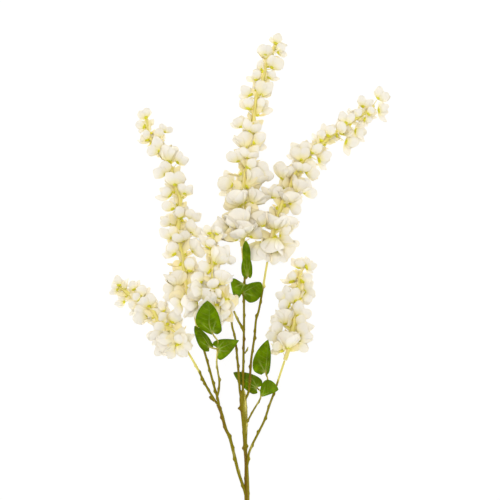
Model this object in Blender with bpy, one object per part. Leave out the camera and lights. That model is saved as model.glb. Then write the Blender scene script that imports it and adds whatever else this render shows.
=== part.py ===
"""Wisteria spray: six flower racemes and nine leaves on one branching stem, lying down.

Metres, +Z up. The cut end of the main stem points to -Y, the flower tips point to +Y, and the
spray rests on the plane Z = 0: the cut end and the lowest blossoms of the outer racemes touch
it. Run with: blender --background --python part.py
"""

import math

import bmesh
import bpy
from mathutils import Vector

MM = 0.001  # routes and sizes below are in millimetres

# Driving dimensions
GAP = 0.3  # clearance where one piece is seated on another
STEM_RADIUS = 4.7  # main stem at the cut end
FORK_RADIUS = 5.0  # main stem where it forks
LIMB_RADIUS = 2.7  # the left branch, which carries two racemes
BRANCH_RADIUS = 2.2  # a branch that carries one raceme, where it begins
NECK_RADIUS = 1.7  # a branch where its raceme begins
RACHIS_TIP_RADIUS = 0.8  # a raceme's axis at its tip
STALK_RADIUS = 1.2  # a stalk that carries leaves
PEDICEL_RADIUS = 0.8  # the thin stem of one blossom
SLEEVE_WALL = 1.2  # the bases of the pedicels, crowded round a raceme's axis
SLEEVE_END = 0.03  # how far past its last blossom that goes, as a fraction of the axis
LEAF_THICKNESS = 0.7
PETIOLE_RADIUS = 0.7
ROUTE_STEP = 13.0  # distance between two rings of a stem
STEM_SIDES = 8
BRANCH_SIDES = 6
PETALS = 5  # sides of a blossom
GOLDEN_TURN = math.radians(137.5)
TURN_TRIES = 12  # turns tried for a blossom before its place is left empty
TURN_STEP = math.radians(30.0)
LEAF_ROOM = 0.7  # share of a leaf's width that blossoms keep off, all round its midrib
FIRST_PLACE = 0.02  # where a raceme's lowest blossom stands, as a fraction of its axis
LEAST_PEDICEL = 3.0
LEAST_BUD_PEDICEL = 2.0
GROUND_STEPS = 12
GROUND_TOLERANCE = 0.02

# Stem routes: points by hand along each axis, x, y, z from the middle of the cut end
MAIN_STEM = [(0, 0, 4.7), (-1, 68, 8), (-3, 98, 10.5), (-4, 143, 15), (-7, 184, 20), (-7, 194, 21)]
LEFT_BRANCH = [
    (-1, 8, 5.5), (-4, 25, 7), (-15, 59, 11), (-28, 113, 17), (-36, 132, 19), (-43, 158, 21.5),
    (-49, 173, 23),
]
LEFT_LEAF_STALK = [
    (-50, 186, 25.5), (-47, 198, 31), (-46, 214, 38), (-48, 228, 44), (-50, 247, 52),
    (-48, 270, 60), (-47, 283, 64),
]
MIDDLE_LEAF_STALK = [(-5, 338, 31), (-11, 352, 38), (-9, 364, 43), (-5, 376, 45), (-3, 384, 46)]
RIGHT_LEAF_STALK = [
    (-4, 138, 14.5), (2, 147, 20), (12, 166, 30), (22, 184, 38), (24, 195, 42), (33, 210, 45),
    (34, 221, 46),
]

# Each raceme: the route of the stem that carries it, then the route of its own axis. Blossoms
# fill the axis from start to full, as fractions of its length, and single buds sit beyond.
RACEMES = {
    "upper_left": {
        "stem_name": "left_inner_stem",
        "stem": [
            (-46, 164, 22), (-47, 174, 24), (-50, 187, 25.5), (-55, 204, 27), (-63, 234, 28.5),
            (-71, 262, 29.5), (-83, 303, 30), (-88, 325, 30.5),
        ],
        "axis": [
            (-92, 340, 31), (-102, 372, 31), (-107, 414, 30.5), (-115, 456, 29), (-112, 513, 27),
            (-117, 528, 26), (-126, 563, 23), (-144, 599, 18), (-149, 608, 16.5), (-163, 619, 15), (-167, 641, 12.5),
            (-170, 652, 11.5),
        ],
        "seats": ["left_branch", "left_outer_stem"],
        "blossoms": 29, "full": 0.82, "reach": (33, 18), "width": (27, 17), "first_turn": 0.6,
        "buds": [
            (0.86, (-150, 616, 8.5), 13), (0.88, (-156, 628, 22), 14), (0.91, (-176, 631, 9), 13),
            (0.97, (-180, 646, 14), 13), (1.0, (-175, 662, 10), 14),
        ],
    },
    "upper_middle": {
        "stem_name": "centre_stem",
        "stem": [
            (-7, 194, 21), (-6, 247, 26), (-5, 307, 30), (-5, 339, 31.5), (-4, 384, 33),
            (-7, 422, 34),
        ],
        "axis": [
            (-8, 436, 35), (-7, 473, 35), (-7, 514, 33), (-5, 548, 31), (2, 581, 28.5),
            (7, 615, 26), (12, 658, 22), (17, 691, 19), (28, 721, 16), (32, 743, 14),
            (42, 764, 12.5), (48, 776, 11),
        ],
        "seats": [],
        "blossoms": 32, "full": 0.84, "reach": (37, 17), "width": (29, 17), "first_turn": 2.0,
        "buds": [
            (0.88, (23, 742, 10), 15), (0.90, (42, 738, 20), 15), (0.94, (26, 761, 15), 14),
            (0.97, (53, 759, 8), 14), (1.0, (50, 782, 12), 14),
        ],
    },
    "upper_right": {
        "stem_name": "right_centre_stem",
        "stem": [
            (-6, 160, 18), (-3, 180, 20), (3, 197, 22), (7, 247, 26), (10, 269, 27), (13, 290, 28.5),
            (15, 314, 30), (20, 332, 31), (27, 371, 33), (31, 395, 34),
        ],
        "axis": [
            (34, 412, 34), (42, 456, 34), (55, 498, 32), (72, 539, 29), (88, 573, 27),
            (122, 606, 23), (164, 640, 18), (197, 660, 14), (214, 674, 12),
        ],
        "seats": ["main_stem"],
        "blossoms": 31, "full": 0.86, "reach": (33, 19), "width": (28, 18), "first_turn": 4.0,
        "buds": [
            (0.90, (203, 643, 12), 14), (0.93, (198, 681, 16), 15), (0.97, (224, 662, 9), 14),
            (1.0, (224, 682, 12), 15),
        ],
    },
    "lower_left": {
        "stem_name": "left_outer_stem",
        "stem": [(-49, 173, 23), (-56, 183, 24), (-67, 202, 25.5), (-83, 234, 27), (-97, 258, 28)],
        "axis": [
            (-106, 272, 28), (-121, 294, 27.5), (-131, 300, 27), (-147, 311, 25), (-161, 332, 22),
            (-197, 356, 15), (-211, 366, 12.5), (-216, 367, 12),
        ],
        "seats": [],
        "blossoms": 16, "full": 0.76, "reach": (28, 19), "width": (27, 19), "first_turn": 1.2,
        "buds": [
            (0.82, (-203, 343, 14), 15), (0.88, (-194, 373, 16), 15), (0.94, (-216, 381, 12), 14),
            (1.0, (-226, 367, 12), 14),
        ],
    },
    "lower_right": {
        "stem_name": "right_branch",
        "stem": [
            (-1, 62, 8), (2, 78, 11), (3, 89, 13), (9, 105, 16), (18, 123, 18), (29, 146, 21),
            (38, 173, 23), (46, 195, 25), (58, 232, 27),
        ],
        "axis": [
            (63, 247, 27), (71, 273, 27), (79, 311, 25.5), (81, 331, 24), (86, 361, 20),
            (87, 384, 16), (90, 393, 15),
        ],
        "seats": ["main_stem"],
        "blossoms": 16, "full": 0.84, "reach": (28, 19), "width": (28, 19), "first_turn": 0.2,
        "buds": [(0.90, (76, 386, 14), 15), (0.93, (101, 384, 12), 15), (0.97, (86, 409, 15), 15),
                 (1.0, (106, 405, 12), 15)],
    },
    "inner_left": {
        "stem_name": "left_centre_stem",
        "stem": [
            (-7, 160, 18), (-10, 184, 21), (-12, 196, 23), (-14, 225, 29), (-16, 250, 35),
            (-20, 287, 44), (-24, 302, 48),
        ],
        "axis": [
            (-26, 316, 51), (-30, 335, 56), (-38, 354, 59), (-54, 376, 62), (-56, 394, 62.5),
            (-57, 431, 62),
            (-56, 450, 61), (-59, 460, 60),
        ],
        "seats": ["main_stem", "centre_stem"],
        "blossoms": 17, "full": 0.84, "reach": (31, 19), "width": (28, 19), "first_turn": 1.0,
        "buds": [(0.90, (-69, 446, 64), 15), (0.94, (-46, 459, 66), 15), (1.0, (-63, 470, 60), 15)],
    },
}
STANDING_REACH = 0.42  # share of a blossom's reach kept along the axis at the raceme's base
BLOSSOM_HEIGHT = 1.1  # of its width
BLOSSOM_PROFILE = [(0.0, 0.12), (0.5, 0.50), (1.0, 0.30)]  # along, radius / width

# Leaves, each on its stalk: the foot of its petiole, the base and tip of its blade, the blade's
# width, its roll in degrees, how far its middle bows up and how far its edges rise
LEAVES = {
    "left_leaf_upper": {
        "stalk": "left_leaf_stalk", "foot": (-47, 281, 63.4), "base": (-50, 296, 67), "tip": (-65, 345, 78),
        "width": 41, "roll": 8, "bow": 4, "fold": 4,
    },
    "left_leaf_outer": {
        "stalk": "left_leaf_stalk", "foot": (-48, 268, 59.6), "base": (-58, 273, 58), "tip": (-86, 306, 52),
        "width": 27, "roll": -20, "bow": 4, "fold": 3,
    },
    "left_leaf_inner": {
        "stalk": "left_leaf_stalk", "foot": (-48.3, 266, 58.8), "base": (-44, 265, 62),
        "tip": (-12, 281, 68),
        "width": 27, "roll": 14, "bow": 4, "fold": 3,
    },
    "middle_leaf_top": {
        "stalk": "middle_leaf_stalk", "foot": (-3, 383, 46), "base": (-2, 388, 48), "tip": (-3, 445, 76),
        "width": 19, "roll": 12, "bow": -2, "fold": 2,
    },
    "middle_leaf_left": {
        "stalk": "middle_leaf_stalk", "foot": (-6, 373, 44.8), "base": (-9, 373, 43), "tip": (-26, 380, 38),
        "width": 26, "roll": 4, "bow": 2, "fold": 3,
    },
    "middle_leaf_right": {
        "stalk": "middle_leaf_stalk", "foot": (-9.4, 362, 42.6), "base": (-4, 361, 45),
        "tip": (25, 374, 42),
        "width": 28, "roll": 12, "bow": 3, "fold": 3,
    },
    "right_leaf_upper": {
        "stalk": "right_leaf_stalk", "foot": (34, 220, 46), "base": (34, 227, 47), "tip": (37, 283, 50),
        "width": 30, "roll": -12, "bow": 4, "fold": 3,
    },
    "right_leaf_lower": {
        "stalk": "right_leaf_stalk", "foot": (29, 204, 44.6), "base": (31, 203, 49), "tip": (43, 183, 56),
        "width": 26, "roll": 30, "bow": 2, "fold": 4,
    },
    "right_leaf_back": {
        "stalk": "right_leaf_stalk", "foot": (24, 196, 42.2), "base": (18, 200, 12), "tip": (-22, 224, 9),
        "width": 31, "roll": -8, "bow": 2, "fold": 3,
    },
}
BLADE_OUTLINE = [  # along the blade, half-width as a share of the widest
    (0.0, 0.30), (0.07, 0.80), (0.25, 1.0), (0.5, 0.84), (0.75, 0.48), (0.9, 0.20), (1.0, 0.03),
]


def clear_scene():
    """Removes what the file holds, so that the spray is built alone."""
    for obj in list(bpy.data.objects):
        bpy.data.objects.remove(obj, do_unlink=True)


def make_material(name, colour, roughness):
    """A plain Principled BSDF with one colour."""
    material = bpy.data.materials.new(name)
    material.use_nodes = True
    shader = material.node_tree.nodes["Principled BSDF"]
    shader.inputs["Base Color"].default_value = (*colour, 1.0)
    shader.inputs["Roughness"].default_value = roughness
    shader.inputs["Metallic"].default_value = 0.0
    return material


def new_object(name, mesh_builder, material):
    """Turns a finished bmesh into an object in metres."""
    bmesh.ops.recalc_face_normals(mesh_builder, faces=mesh_builder.faces)
    bmesh.ops.scale(mesh_builder, vec=(MM, MM, MM), verts=mesh_builder.verts)
    mesh = bpy.data.meshes.new(name)
    mesh_builder.to_mesh(mesh)
    mesh_builder.free()
    mesh.materials.append(material)
    obj = bpy.data.objects.new(name, mesh)
    bpy.context.scene.collection.objects.link(obj)
    return obj


def smooth_route(points):
    """Catmull-Rom curve through points, one list of curve points per stretch between two."""
    knots = [Vector(p) for p in points]
    knots = [2 * knots[0] - knots[1], *knots, 2 * knots[-1] - knots[-2]]
    stretches = []
    for before, start, end, after in zip(knots, knots[1:], knots[2:], knots[3:]):
        count = max(1, round((end - start).length / ROUTE_STEP))
        stretch = []
        for step in range(count):
            t = step / count
            stretch.append(
                0.5 * (2 * start + (end - before) * t
                       + (2 * before - 5 * start + 4 * end - after) * t ** 2
                       + (3 * start - before - 3 * end + after) * t ** 3)
            )
        stretches.append(stretch)
    stretches.append([knots[-2].copy()])
    return stretches


def flatten(stretches):
    """One list of points from a list of stretches."""
    return [point for stretch in stretches for point in stretch]


def tangents_of(route):
    """Unit direction of travel at each point of a route."""
    padded = [route[0], *route, route[-1]]
    return [(after - before).normalized() for before, after in zip(padded, padded[2:])]


def place_at(route, fraction):
    """Point and direction at a fraction of a route's length."""
    lengths = [0.0]
    for start, end in zip(route, route[1:]):
        lengths.append(lengths[-1] + (end - start).length)
    target = fraction * lengths[-1]
    for i in range(len(route) - 1):
        if target <= lengths[i + 1] or i == len(route) - 2:
            share = (target - lengths[i]) / (lengths[i + 1] - lengths[i])
            return route[i].lerp(route[i + 1], share), (route[i + 1] - route[i]).normalized()


def route_up_to(route, fraction):
    """The first part of a route, ended at a fraction of its length."""
    end, _ = place_at(route, fraction)
    kept = [route[0]]
    for start, after in zip(route, route[1:]):
        if (end - start).dot(after - start) <= (after - start).length_squared:
            break
        kept.append(after)
    return kept + [end]


def ring_corners(centre, side, up, radius, sides):
    """Corners of a regular polygon round centre, the first towards -up."""
    angles = [2 * math.pi * k / sides for k in range(sides)]
    return [centre + radius * (math.sin(a) * side - math.cos(a) * up) for a in angles]


def bridge(builder, lower, upper):
    """Joins two rings with as many vertices by a band of quads."""
    count = len(lower)
    for k in range(count):
        after = (k + 1) % count
        builder.faces.new((lower[k], lower[after], upper[after], upper[k]))


def close_rings(builder, rings):
    """Bridges neighbouring rings and caps both ends."""
    for lower, upper in zip(rings, rings[1:]):
        bridge(builder, lower, upper)
    builder.faces.new(rings[0])
    builder.faces.new(rings[-1])


def tube(name, route, radii, sides, material, grow=0.0, trim=0.0):
    """A tapering round stem along route. grow widens and lengthens it for a clearance, and
    trim shortens its first end."""
    route = [point.copy() for point in route]
    directions = tangents_of(route)
    route[0] += (trim - grow) * directions[0]
    route[-1] += grow * directions[-1]
    builder = bmesh.new()
    rings = []
    for i, (point, direction) in enumerate(zip(route, directions)):
        side = direction.cross(Vector((0, 0, 1))).normalized()
        up = side.cross(direction)
        share = i / (len(route) - 1)
        radius = radii[0] + (radii[1] - radii[0]) * share + grow
        corners = ring_corners(point, side, up, radius, sides)
        rings.append([builder.verts.new(corner) for corner in corners])
    close_rings(builder, rings)
    return new_object(name, builder, material)


def combine(obj, operation, others):
    """Applies one exact Boolean with each of others, which it removes."""
    group = bpy.data.collections.new("operands")
    bpy.context.scene.collection.children.link(group)
    for other in others:
        group.objects.link(other)
    modifier = obj.modifiers.new("combine", "BOOLEAN")
    modifier.operation = operation
    modifier.operand_type = "COLLECTION"
    modifier.collection = group
    modifier.solver = "EXACT"
    evaluated = obj.evaluated_get(bpy.context.evaluated_depsgraph_get())
    mesh = bpy.data.meshes.new_from_object(evaluated)
    obj.modifiers.remove(modifier)
    obj.data = mesh
    for other in others:
        bpy.data.objects.remove(other, do_unlink=True)
    bpy.data.collections.remove(group)


def keep_largest_body(obj):
    """Drops the scraps that a cut leaves beside the main body."""
    builder = bmesh.new()
    builder.from_mesh(obj.data)
    unseen = set(builder.verts)
    bodies = []
    while unseen:
        body, frontier = set(), [unseen.pop()]
        while frontier:
            vertex = frontier.pop()
            body.add(vertex)
            for edge in vertex.link_edges:
                neighbour = edge.other_vert(vertex)
                if neighbour in unseen:
                    unseen.discard(neighbour)
                    frontier.append(neighbour)
        bodies.append(body)
    largest = max(bodies, key=len)
    scraps = [vertex for body in bodies if body is not largest for vertex in body]
    bmesh.ops.delete(builder, geom=scraps, context="VERTS")
    builder.to_mesh(obj.data)
    builder.free()


def stem_piece(name, route, radii, sides, material, trim=0.0):
    """A stem, and a record of what its clearance needs."""
    CARRIERS[name] = (route, radii, sides)
    return tube(name, route, radii, sides, material, trim=trim)


def seat(obj, carrier_names):
    """Cuts obj back to a clearance of GAP round each stem that carries it."""
    cutters = []
    for carrier in carrier_names:
        route, radii, sides = CARRIERS[carrier]
        cutters.append(tube("cutter", route, radii, sides, obj.data.materials[0], grow=GAP))
    if cutters:
        combine(obj, "DIFFERENCE", cutters)
        keep_largest_body(obj)


def blossom_rings(foot, direction, pedicel, width):
    """Corners of each ring of a blossom: one at its foot, then those of its five-sided cup."""
    side = direction.orthogonal().normalized()
    up = side.cross(direction)
    rings = [ring_corners(foot, side, up, PEDICEL_RADIUS, PETALS)]
    for along, radius in BLOSSOM_PROFILE:
        centre = foot + (pedicel + along * BLOSSOM_HEIGHT * width) * direction
        rings.append(ring_corners(centre, side, up, radius * width, PETALS))
    return rings


def blossom(name, foot, direction, pedicel, width, material):
    """One blossom on its pedicel."""
    builder = bmesh.new()
    rings = [
        [builder.verts.new(corner) for corner in corners]
        for corners in blossom_rings(foot, direction, pedicel, width)
    ]
    close_rings(builder, rings)
    return new_object(name, builder, material)


def lift_off_ground(foot, direction, pedicel, width):
    """Turns a blossom's direction up until its lowest corner just touches the ground."""
    for _ in range(GROUND_STEPS):
        rings = blossom_rings(foot, direction, pedicel, width)
        drop = min(corner.z for ring in rings for corner in ring)
        if drop >= 0:
            break
        rise = -drop / (pedicel + BLOSSOM_HEIGHT * width)
        direction = (direction + Vector((0, 0, rise))).normalized()
    return direction, drop >= -GROUND_TOLERANCE


def is_clear(foot, direction, pedicel, width, occupied):
    """True where a blossom keeps off every cup in occupied, each a start, an end and a width."""
    height = BLOSSOM_HEIGHT * width
    samples = 5
    own = [foot + (pedicel + height * k / (samples - 1)) * direction for k in range(samples)]
    for start, end, other_width in occupied:
        least = 0.5 * (width + other_width) + GAP
        for k in range(samples):
            point = start.lerp(end, k / (samples - 1))
            if any((point - mine).length < least for mine in own):
                return False
    return True


def cup_of(foot, direction, pedicel, width):
    """The start, end and width that is_clear compares."""
    start = foot + pedicel * direction
    return start, start + BLOSSOM_HEIGHT * width * direction, width


def blossom_places(raceme, axis, taken):
    """Feet, directions, pedicels and widths of a raceme's blossoms, in a spiral up its axis."""
    places = []
    count = raceme["blossoms"]
    for k in range(count):
        share = k / (count - 1)
        foot, along = place_at(axis, FIRST_PLACE + (raceme["full"] - FIRST_PLACE) * share)
        reach = raceme["reach"][0] + (raceme["reach"][1] - raceme["reach"][0]) * share
        width = raceme["width"][0] + (raceme["width"][1] - raceme["width"][0]) * share
        side = along.cross(Vector((0, 0, 1))).normalized()
        up = side.cross(along)
        for attempt in range(TURN_TRIES):
            offset = TURN_STEP * ((attempt + 1) // 2) * (-1) ** attempt
            turn = raceme["first_turn"] + k * GOLDEN_TURN + offset
            outward = math.cos(turn) * side + math.sin(turn) * up
            direction = (outward + STANDING_REACH * (1 + share) * along).normalized()
            pedicel = max(LEAST_PEDICEL, reach / direction.dot(outward) - BLOSSOM_HEIGHT * width)
            direction, rests = lift_off_ground(foot, direction, pedicel, width)
            if rests and is_clear(foot, direction, pedicel, width, taken):
                places.append((foot, direction, pedicel, width))
                last = share
                break
    return places, raceme["full"] * last + SLEEVE_END


def leaf(name, shape, material):
    """A pointed leaf with a thin petiole: sections of six points along its midrib."""
    foot, base, tip = Vector(shape["foot"]), Vector(shape["base"]), Vector(shape["tip"])
    width, bow, fold = shape["width"], shape["bow"], shape["fold"]
    roll = math.radians(shape["roll"])
    along = (tip - base).normalized()
    flat_side = along.cross(Vector((0, 0, 1))).normalized()
    side = flat_side * math.cos(roll) + flat_side.cross(along) * math.sin(roll)
    up = side.cross(along)
    half = LEAF_THICKNESS / 2
    sections = [(foot, PETIOLE_RADIUS, 0.0, PETIOLE_RADIUS)]
    sections.append((foot.lerp(base, 0.85), PETIOLE_RADIUS, 0.0, PETIOLE_RADIUS))
    for share, outline in BLADE_OUTLINE:
        centre = base.lerp(tip, share) + up * bow * math.sin(math.pi * share)
        sections.append((centre, 0.5 * width * outline, fold * outline, half))
    builder = bmesh.new()
    rings = []
    for centre, half_width, rise, half_depth in sections:
        corners = []
        for across, lift in ((-1, -1), (0, -1), (1, -1), (1, 1), (0, 1), (-1, 1)):
            offset = across * half_width * side + (abs(across) * rise + lift * half_depth) * up
            corners.append(builder.verts.new(centre + offset))
        rings.append(corners)
    close_rings(builder, rings)
    return new_object(name, builder, material)


def move_origin_below_middle():
    """Moves the spray so that the middle of its box stands over the origin, on Z = 0."""
    corners = [
        obj.matrix_world @ vertex.co for obj in bpy.data.objects for vertex in obj.data.vertices
    ]
    low = Vector([min(c[i] for c in corners) for i in range(3)])
    high = Vector([max(c[i] for c in corners) for i in range(3)])
    shift = Vector((-(low.x + high.x) / 2, -(low.y + high.y) / 2, -low.z))
    for obj in bpy.data.objects:
        for vertex in obj.data.vertices:
            vertex.co += shift


CARRIERS = {}  # route, radii and sides of each stem that something is seated on


def main():
    """Builds every piece of the spray."""
    clear_scene()
    bark = make_material("bark", (0.16, 0.13, 0.03), 0.6)
    axis_green = make_material("raceme_axis", (0.62, 0.60, 0.16), 0.55)
    leaf_green = make_material("leaf", (0.08, 0.22, 0.02), 0.5)
    petal_cream = make_material("petal", (0.88, 0.84, 0.68), 0.7)

    stem_piece("main_stem", flatten(smooth_route(MAIN_STEM)), (STEM_RADIUS, FORK_RADIUS),
               STEM_SIDES, bark)
    left_branch = stem_piece("left_branch", flatten(smooth_route(LEFT_BRANCH)),
                             (LIMB_RADIUS, LIMB_RADIUS), BRANCH_SIDES, bark)
    seat(left_branch, ["main_stem"])

    axes, stems = {}, {}
    for name, raceme in RACEMES.items():
        stretches = smooth_route(raceme["stem"] + raceme["axis"])
        fork = len(raceme["stem"])
        axes[name] = flatten(stretches[fork:])
        stem_route = flatten(stretches[:fork]) + [axes[name][0]]
        trim = 0.0 if raceme["seats"] else 1.5 * GAP
        stems[name] = stem_piece(raceme["stem_name"], stem_route, (BRANCH_RADIUS, NECK_RADIUS),
                                 BRANCH_SIDES, bark, trim=trim)
        stem_piece(name + "_axis", axes[name], (NECK_RADIUS, RACHIS_TIP_RADIUS), BRANCH_SIDES,
                   axis_green, trim=GAP)
    for name, raceme in RACEMES.items():
        seat(stems[name], raceme["seats"])

    stalks = {
        "left_leaf_stalk": (LEFT_LEAF_STALK, "left_inner_stem"),
        "middle_leaf_stalk": (MIDDLE_LEAF_STALK, "centre_stem"),
        "right_leaf_stalk": (RIGHT_LEAF_STALK, "main_stem"),
    }
    for name, (route, carrier) in stalks.items():
        stalk = stem_piece(name, flatten(smooth_route(route)), (STALK_RADIUS, STALK_RADIUS),
                           BRANCH_SIDES, bark)
        seat(stalk, [carrier])
    taken = []  # what blossoms keep off: leaves, then the cups of finished blossoms
    for name, shape in LEAVES.items():
        blade = leaf(name, shape, leaf_green)
        seat(blade, [shape["stalk"]])
        taken.append((Vector(shape["base"]), Vector(shape["tip"]), LEAF_ROOM * shape["width"]))

    for name, raceme in RACEMES.items():
        for number, (fraction, middle, width) in enumerate(raceme["buds"], 1):
            foot, _ = place_at(axes[name], fraction)
            towards = Vector(middle) - foot
            direction = towards.normalized()
            pedicel = max(LEAST_BUD_PEDICEL, towards.length - 0.5 * BLOSSOM_HEIGHT * width)
            bud = blossom(f"{name}_bud_{number}", foot, direction, pedicel, width, petal_cream)
            seat(bud, [name + "_axis"])
            taken.append(cup_of(foot, direction, pedicel, width))

    for name, raceme in RACEMES.items():
        places, last = blossom_places(raceme, axes[name], taken)
        cups = [blossom("cup", *place, petal_cream) for place in places]
        sleeve = tube(name + "_blossoms", route_up_to(axes[name], last),
                      (NECK_RADIUS + SLEEVE_WALL,) * 2, BRANCH_SIDES, petal_cream, trim=GAP)
        combine(sleeve, "UNION", cups)
        seat(sleeve, [name + "_axis"])
        taken += [cup_of(*place) for place in places]

    move_origin_below_middle()


if __name__ == "__main__":
    main()
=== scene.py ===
"""Wisteria spray, lying down: petals, calyxes, ribbed stems and veined leaves over the frame.

Places are in millimetres from the middle of the main stem's cut end, +Y towards the flower
tips and +Z up from the surface that the spray lies on; place() turns them into the frame's
metres.
"""

import math
import random

import bmesh
import bpy
from bpy.props import FloatProperty, FloatVectorProperty, IntProperty, PointerProperty
from mathutils import Matrix, Vector
from mathutils.kdtree import KDTree


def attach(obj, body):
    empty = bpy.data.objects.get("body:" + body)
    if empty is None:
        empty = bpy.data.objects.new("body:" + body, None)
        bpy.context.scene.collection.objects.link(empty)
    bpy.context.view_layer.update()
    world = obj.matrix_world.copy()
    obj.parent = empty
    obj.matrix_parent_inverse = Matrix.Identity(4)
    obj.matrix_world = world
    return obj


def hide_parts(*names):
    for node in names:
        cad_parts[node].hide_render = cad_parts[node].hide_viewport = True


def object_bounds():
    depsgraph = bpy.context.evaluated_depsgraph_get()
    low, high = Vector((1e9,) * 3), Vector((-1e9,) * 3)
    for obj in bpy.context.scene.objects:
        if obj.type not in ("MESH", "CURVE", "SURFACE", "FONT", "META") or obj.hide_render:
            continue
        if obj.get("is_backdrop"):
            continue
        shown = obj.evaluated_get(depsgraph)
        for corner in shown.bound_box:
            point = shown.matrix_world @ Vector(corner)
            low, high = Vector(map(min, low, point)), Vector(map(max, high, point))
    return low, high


bl_info = {
    "name": "Wisteria Spray",
    "version": (1, 0, 0),
    "blender": (4, 5, 0),
    "location": "View3D > Sidebar > Wisteria",
    "description": "Petals, calyxes, stems and leaves of a lying wisteria spray",
    "category": "Add Mesh",
}

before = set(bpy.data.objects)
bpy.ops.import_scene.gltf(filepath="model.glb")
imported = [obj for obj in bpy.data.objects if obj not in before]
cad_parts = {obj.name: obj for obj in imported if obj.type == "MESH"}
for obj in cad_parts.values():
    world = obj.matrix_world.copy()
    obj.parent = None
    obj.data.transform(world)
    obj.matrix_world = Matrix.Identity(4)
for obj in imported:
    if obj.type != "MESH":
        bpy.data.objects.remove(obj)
CAD_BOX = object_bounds()

MM = 0.001
CUT_HEIGHT = 4.7  # of the main stem's middle over the surface, at its cut end

# Stems and axes. Steps lie between the points of a route, a knob's length and height belong to
# size 1, and a raceme's stem turns pale over FADE, from FADE_BELOW under its fresh_above.
STEM_STEP, AXIS_STEP = 2, 3
RIB_DEPTH = 0.05  # of the radius, for each rib
RIB_TWIST = 6  # radians a metre
KNOB_LENGTH, KNOB_HEIGHT = 2.4, 2.8
FADE, FADE_BELOW = 30, 12
AXIS_RADII, AXIS_RIBS, AXIS_SIDES = (3.8, 2.5), 3, 12
TAN = (0.82, 0.66, 0.30)
BARK_FLECK = (0.42, 0.35, 0.08)

# Petals. Shares of a petal's length say where its belly ends, from where it has its full breadth
# and where its tip begins.
PETAL_COLUMNS, PETAL_ROWS, PETAL_STEPS = 4, 4, 24
BELLY_TO, FULL_FROM, TIP_FROM = 0.4, 0.55, 0.6
PETAL_FOOT = 0.24  # its breadth at the calyx, as a share of the full one
TIP_NARROWING = 0.18  # of its breadth
CALYX_SLOPE = 1.15  # radians out from the blossom's middle line, at the calyx
RIPPLE_TURN = 3.2  # radians of ripple from midline to rim
PAINTED_CORE_SHADE = 0.6  # painted warm shade, added to the tone beside the axis where petals lie deep in the raceme
LIFT = 0.4  # least height of a petal over the surface

# Blossoms. Up to SMALL_BLOSSOM wide one is a little more closed, and from LARGE_BLOSSOM it has
# six petals; EARED_SHARE of the others have two ears. From its middle a blossom's calyx is
# CALYX_BELOW of its width away, at CALYX_DEPTH of the way out from the axis. CALYX has the rises
# and radii of a calyx, in widths of its blossom, up to WIDEST_CALYX.
SMALL_BLOSSOM, LARGE_BLOSSOM = 22, 34
EARED_SHARE = 0.65
CALYX_BELOW, CALYX_DEPTH = 0.42, 0.75
CALYX = ((-0.06, 0.06), (-0.02, 0.14), (0.02, 0.20), (0.07, 0.24), (0.11, 0.225))
CALYX_SIDES, WIDEST_CALYX = 8, 27
PEDICEL_SIDES, PEDICEL_RADII = 5, (0.95, 0.85)

# Blossoms behind: how far up the axis they go, their reach as a share of the raceme's, their
# least and greatest width, and the half turns between which they lie under the axis.
BACK_TO, BACK_REACH = 0.96, 0.92
BACK_WIDTHS = (20, 34)
BACK_TURNS = (1.04, 1.96)
GOLDEN_SHARE = 0.618  # of those turns from one to the next

# Leaves. A waist and its length are shares of the blade's length.
LEAF_COLUMNS, LEAF_ROWS = 12, 16
WAIST_AT, WAIST_LENGTH = 0.52, 0.14
PETIOLE_SIDES, PETIOLE_RADII, PETIOLE_RIPENESS = 6, (2.0, 1.2), 0.3
VEIN_RUN = 22.0  # radians from base to tip, with a side vein every half turn

# Stage. The floor and the lamp are in metres.
FLOOR_REACH = 4.0
KEY_PLACE = (-0.1, 0.2, 2.5)
VIEW_CENTRE = (5, 431, 25)

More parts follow.
